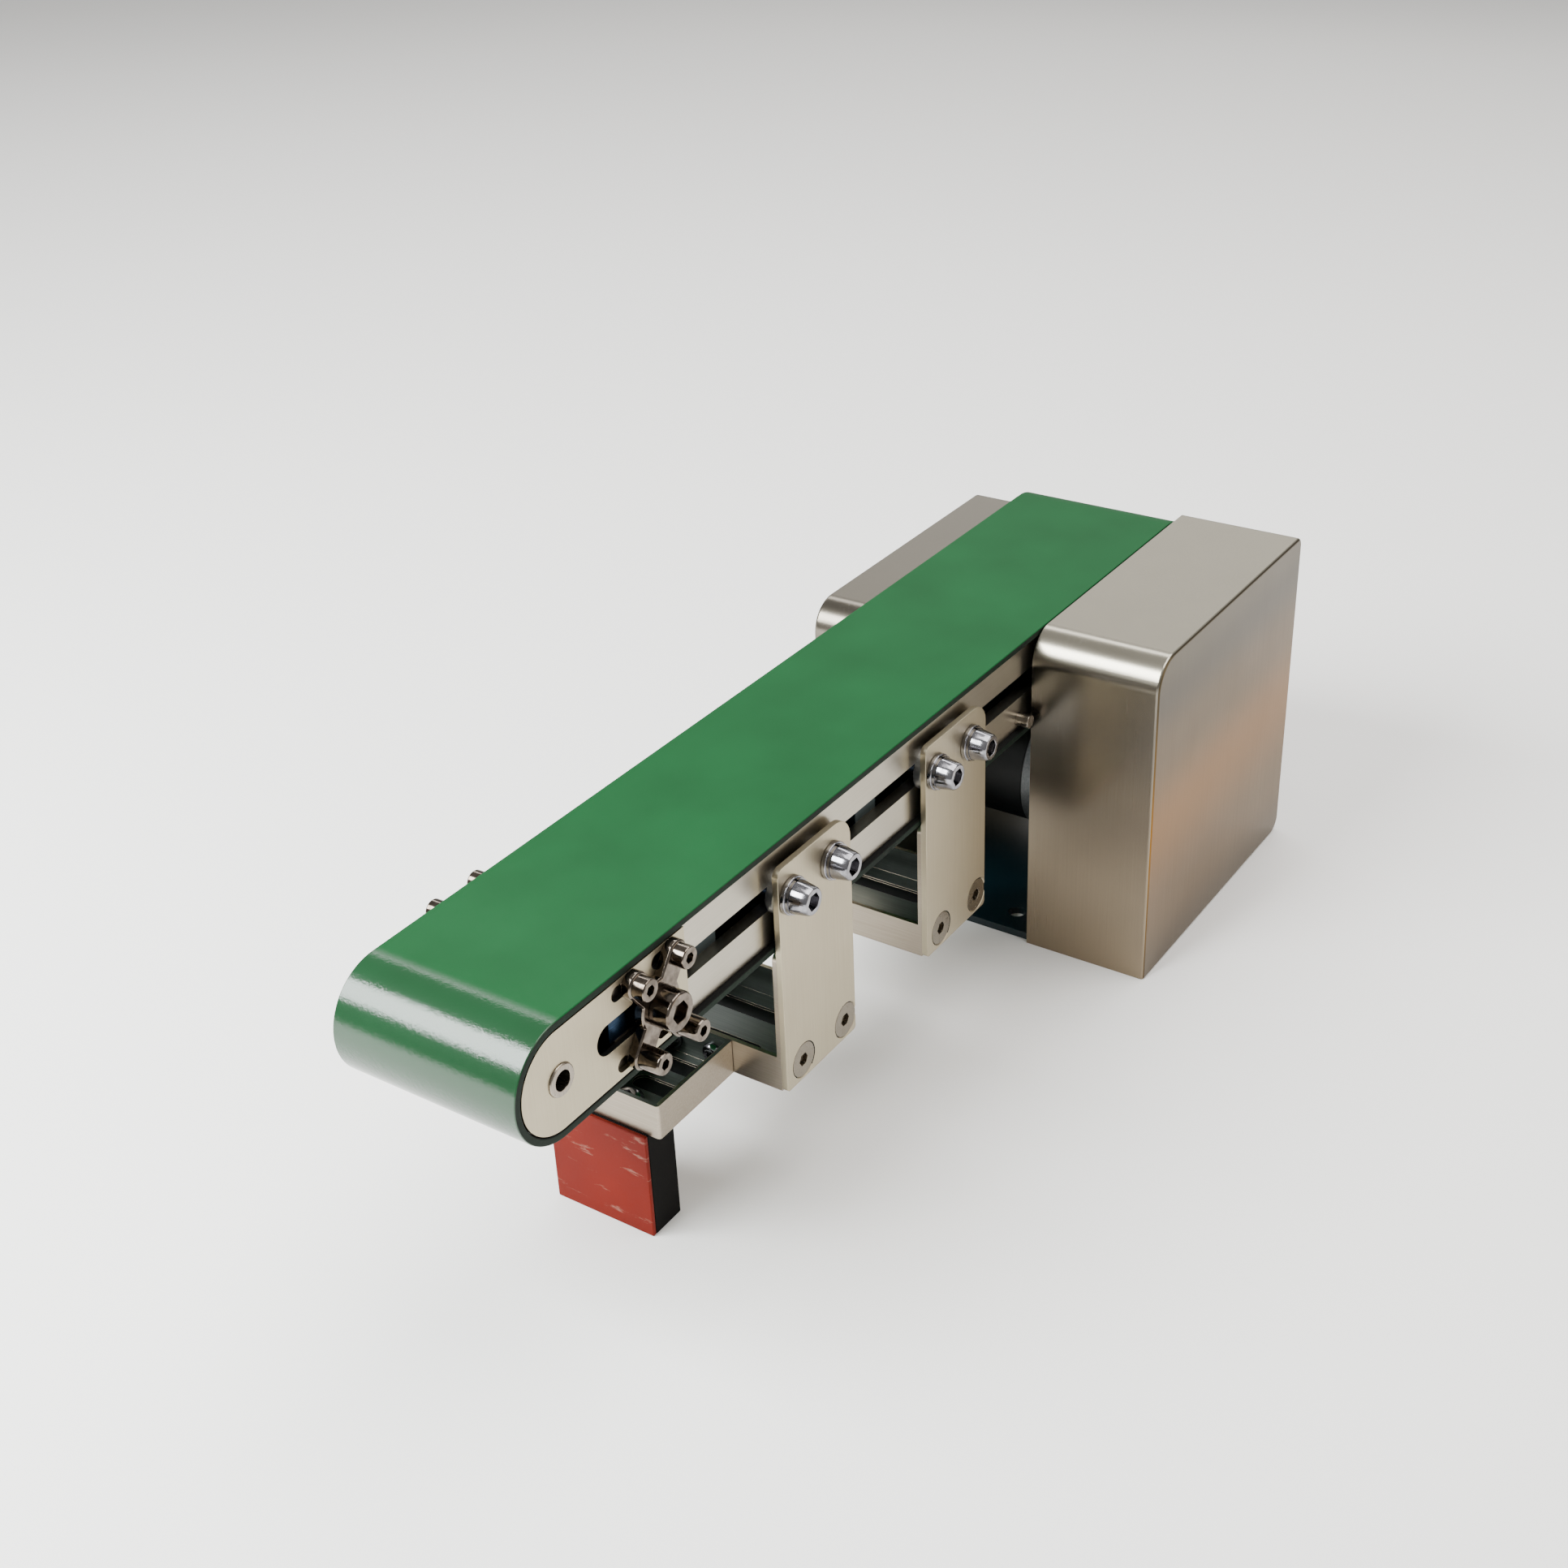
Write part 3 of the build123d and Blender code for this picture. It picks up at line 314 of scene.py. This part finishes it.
SLOT_LOOKS = {
    "belt": belt_face, "bed_steel": plate_steel, "alloy": machined_alloy, "bright_steel": turned_steel,
    "stainless": rail_steel, "roller_alloy": roller_alloy, "bearing_steel": bearing_steel,
    "blued_steel": blued_steel, "chrome": clamp_dark_reflection_look, "bright_screws": bright_plate,
    "tray_steel": tray_steel, "block_black": block_black, "block_red": block_red,
    "dark_paint": base_paint, "cover_steel": cover_steel, "black_plastic": black_nylon,
    "black_rubber": drive_rubber, "gearbox_metal": cast_alloy, "motor_paint": motor_paint,
}


def look_of(node):
    """The record's material slot of a CAD node."""
    for entry in frame["record"]["subparts"]:
        if entry["node"] == node:
            return entry["material_slot"]
    return None


def dress(thing, material):
    thing.data.materials.clear()
    thing.data.materials.append(material)


for name, thing in frame["nodes"].items():
    dress(thing, SLOT_LOOKS[look_of(name)])


# Pieces

def finish_piece(mesh_data, name, node, *materials, smooth_angle=35):
    """Makes an object of a bmesh, in place of one CAD node and riding on that node's body."""
    mesh = bpy.data.meshes.new(name)
    mesh_data.to_mesh(mesh)
    mesh_data.free()
    for polygon in mesh.polygons:
        polygon.use_smooth = True
    mesh.set_sharp_from_angle(angle=math.radians(smooth_angle))
    piece = bpy.data.objects.new(name, mesh)
    bpy.context.scene.collection.objects.link(piece)
    for material in materials:
        mesh.materials.append(material)
    even = piece.modifiers.new("even_shading", "WEIGHTED_NORMAL")
    even.keep_sharp = True
    even.weight = 100
    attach(piece, next(b for b, members in frame["record"]["behaviour"]["bodies"].items() if node in members))
    return piece


MERGE_DISTANCE = 0.002 * MM
FLAT_WITHIN = math.radians(0.6)
CORNER_FROM = math.radians(40)


def merged_copy(node):
    """The CAD node's mesh with its seams joined and its flat faces made whole."""
    shape = bmesh.new()
    shape.from_mesh(frame["nodes"][node].data)
    bmesh.ops.remove_doubles(shape, verts=shape.verts, dist=MERGE_DISTANCE)
    bmesh.ops.dissolve_limit(shape, angle_limit=FLAT_WITHIN, verts=shape.verts, edges=shape.edges)
    return shape


def eased(node, width, *materials, segments=2, paint=None):
    """The CAD node with its corners eased by width mm. paint gives a face's material number."""
    shape = merged_copy(node)
    sharp = [e for e in shape.edges
             if len(e.link_faces) == 2 and e.calc_face_angle(0) > CORNER_FROM]
    bmesh.ops.bevel(shape, geom=sharp, offset=width * MM, offset_type="OFFSET", segments=segments,
                    profile=0.5, affect="EDGES", clamp_overlap=True, material=-1)
    if paint:
        for face in shape.faces:
            face.material_index = paint(face)
    piece = finish_piece(shape, node + "_eased", node, *materials)
    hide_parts(node)
    return piece


BELT_THICKNESS = 2.4 * MM
BELT_EDGE_EASE = 0.45 * MM
BELT_TURN_STEPS = 40
BELT_RUN_STEPS = 12


def faces_of(geometry):
    return [g for g in geometry if isinstance(g, bmesh.types.BMFace)]


def half_turn(shape, geometry, centre):
    """Sweeps the belt's section half way round a roller and gives the faces it ends on."""
    return faces_of(bmesh.ops.spin(shape, geom=geometry, axis=(0, -1, 0), cent=centre, angle=math.pi,
                                   steps=BELT_TURN_STEPS, use_merge=False)["geom_last"])


def straight_run(shape, cap, distance):
    """Draws the belt's section out straight along X and gives the faces it ends on."""
    for _ in range(BELT_RUN_STEPS):
        grown = bmesh.ops.extrude_face_region(shape, geom=cap)["geom"]
        bmesh.ops.translate(shape, verts=[g for g in grown if isinstance(g, bmesh.types.BMVert)],
                            vec=(distance / BELT_RUN_STEPS, 0, 0))
        bmesh.ops.delete(shape, geom=cap, context="FACES")
        cap = faces_of(grown)
    return cap


def make_belt():
    """The belt as one even strip round both rollers, with its face, slit edges and carcass told apart."""
    low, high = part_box("conveyor_belt")
    radius = (high.z - low.z) / 2
    axis_z = (high.z + low.z) / 2
    nose_x, drive_x = low.x + radius, high.x - radius
    shape = bmesh.new()
    strip = bmesh.ops.create_grid(shape, x_segments=1, y_segments=1, size=1.0)["verts"]
    for vert in strip:
        vert.co = Vector((nose_x, vert.co.x * high.y, axis_z + radius + (vert.co.y - 1) * BELT_THICKNESS / 2))
    bmesh.ops.bevel(shape, geom=list(shape.verts), offset=BELT_EDGE_EASE, offset_type="OFFSET", segments=3,
                    profile=0.5, affect="VERTICES", clamp_overlap=True, material=-1)
    section = list(shape.faces) + list(shape.edges) + list(shape.verts)
    cap = half_turn(shape, section, (nose_x, 0, axis_z))
    cap = straight_run(shape, cap, drive_x - nose_x)
    section = dict.fromkeys(cap)
    for face in cap:
        section.update(dict.fromkeys([*face.edges, *face.verts]))
    cap = half_turn(shape, list(section), (drive_x, 0, axis_z))
    straight_run(shape, cap, nose_x - drive_x)
    bmesh.ops.remove_doubles(shape, verts=shape.verts, dist=0.01 * MM)
    inner = [f for f in shape.faces if len(f.verts) > 4]
    bmesh.ops.delete(shape, geom=inner, context="FACES_ONLY")
    bmesh.ops.recalc_face_normals(shape, faces=shape.faces)
    for face in shape.faces:
        middle = face.calc_center_median()
        centre_x = min(max(middle.x, nose_x), drive_x)
        outward = Vector((middle.x - centre_x, 0, middle.z - axis_z)).normalized()
        turned_out = face.normal.dot(outward)
        face.material_index = 0 if turned_out > 0.5 else 1 if turned_out > -0.5 else 2
    piece = finish_piece(shape, "conveyor_belt_run", "conveyor_belt", belt_face, belt_edge, belt_carcass)
    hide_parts("conveyor_belt")


def tray_paint(node):
    """Darker metal inside the tray's walls and near black in its recesses, both painted shade; plain metal outside
    and on the bevelled rims.
    """
    low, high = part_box(node)
    front, back, side = low.x + 1.14 * MM, high.x - 1.35 * MM, high.y - 1.35 * MM
    underside, recess_floor, rim_top = low.z + 0.3 * MM, low.z + 1.2 * MM, low.z + 1.8 * MM

    def paint(face):
        middle = face.calc_center_median()
        inside = front < middle.x < back and abs(middle.y) < side and middle.z > underside
        bevel_rim = 0.2 < abs(face.normal.z) < 0.95 and middle.z < rim_top
        return 0 if bevel_rim or not inside else 2 if middle.z < recess_floor else 1
    return paint


def hole_paint(node):
    """Near black painted shade on the walls of a plate's holes and countersinks, plain metal elsewhere."""
    low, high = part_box(node)
    rim = 2.4 * MM

    def paint(face):
        middle = face.calc_center_median()
        inner = low.x + rim < middle.x < high.x - rim and low.z + rim < middle.z < high.z - rim
        return 1 if inner and abs(face.normal.y) < 0.9 else 0
    return paint


def panel_paint(side):
    """The sheet with the side's painted reflection bands on a cover's flat outer panel, the brushed sheet with the
    front's painted reflection bands on the rest.
    """
    return lambda face: 1 if face.normal.y * side > 0.7 else 0


# How far each piece's corners are eased, in mm
TRAY_EASE = 0.25
COVER_EASE = 0.5
EASED_EDGES = {
    "right_side_plate": 0.3, "left_side_plate": 0.3, "base_plate": 0.4,
    "front_right_bracket": 0.45, "rear_right_bracket": 0.45,
    "front_left_bracket": 0.45, "rear_left_bracket": 0.45,
    "right_nose_plate": 0.3, "left_nose_plate": 0.3, "right_upper_rail": 0.6, "right_lower_rail": 0.6,
    "left_upper_rail": 0.6, "left_lower_rail": 0.6, "front_support_block": 0.4, "support_block_face": 0.4,
    "bracket_screws": 0.45, "bracket_washers": 0.3, "bracket_foot_screws": 0.15, "nose_clamp_screws": 0.3,
    "right_clamp_screw": 0.5, "left_clamp_screw": 0.5, "right_nose_clamp": 0.5, "left_nose_clamp": 0.5,
    "nose_axle": 0.25, "tension_nut_blocks": 0.4, "rail_stop_studs": 0.3, "cable_gland": 0.3,
    "gearbox": 0.8, "motor_body": 0.8, "cover_screws": 0.2, "spine_screws": 0.2, "centre_beam": 0.4,
    "rail_end_screws": 0.3, "slider_bed": 0.2,
}

aim_camera()
make_belt()
for node in ("front_cross_tray", "rear_cross_tray", "spine_channel"):
    eased(node, TRAY_EASE, tray_steel, tray_floor, tray_pocket, paint=tray_paint(node))
for node, width in EASED_EDGES.items():
    if node.endswith(("_bracket", "_nose_plate", "_side_plate")):
        eased(node, width, plate_steel, tray_pocket, paint=hole_paint(node))
    elif node == "bracket_foot_screws":
        eased(node, width, foot_steel)
    else:
        eased(node, width, SLOT_LOOKS[look_of(node)])
for node, side in (("right_cover", -1), ("left_cover", 1)):
    eased(node, COVER_EASE, cover_steel, cover_panel, paint=panel_paint(side))

# Floor and lights

floor_mesh = bpy.data.meshes.new("floor")
floor_grid = bmesh.new()
bmesh.ops.create_grid(floor_grid, x_segments=1, y_segments=1, size=6.0)
floor_grid.to_mesh(floor_mesh)
floor_grid.free()
ground = bpy.data.objects.new("floor", floor_mesh)
bpy.context.scene.collection.objects.link(ground)
floor_look, floor_shader = new_material("floor_pale_matt")
floor_shader.inputs["Base Color"].default_value = srgb("#F6F5F3")
floor_shader.inputs["Roughness"].default_value = 0.9
dress(ground, floor_look)

world = bpy.data.worlds.new("studio")
bpy.context.scene.world = world
world.use_nodes = True
world.node_tree.nodes["Background"].inputs["Color"].default_value = (1.0, 0.99, 0.97, 1)
world.node_tree.nodes["Background"].inputs["Strength"].default_value = 0.45
softbox("key_front_left", (-0.86, 0.52, 0.80), (-0.33, 0, 0.11), (0.95, 0.56), 42, (0.97, 1.0, 1.0))
softbox("nose_strip", (0.67, 0.82, 1.10), (-0.33, 0, 0.11), (2.4, 0.22), 12, (1.0, 1.0, 1.0))
softbox("overhead", (0.15, -0.4, 1.8), (0.05, 0, 0.1), (1.2, 1.4), 30, (1.0, 0.99, 0.97))
softbox("far_end", (1.6, 0.65, 0.8), (0, 0, 0.1), (1.5, 0.8), 4, (1.0, 0.98, 0.93))
side_lamp = bpy.data.lights.new("right_warm", "AREA")
side_lamp.shape = "RECTANGLE"
side_lamp.size, side_lamp.size_y = 1.4, 0.7
side_lamp.energy = 9
side_lamp.color = (1.0, 0.87, 0.74)
side_holder = bpy.data.objects.new("right_warm", side_lamp)
side_holder.location = (0.4, -1.5, 0.5)
side_holder.rotation_euler = Vector((-0.45, 1.5, -0.44)).to_track_quat("-Z", "Y").to_euler()
bpy.context.scene.collection.objects.link(side_holder)
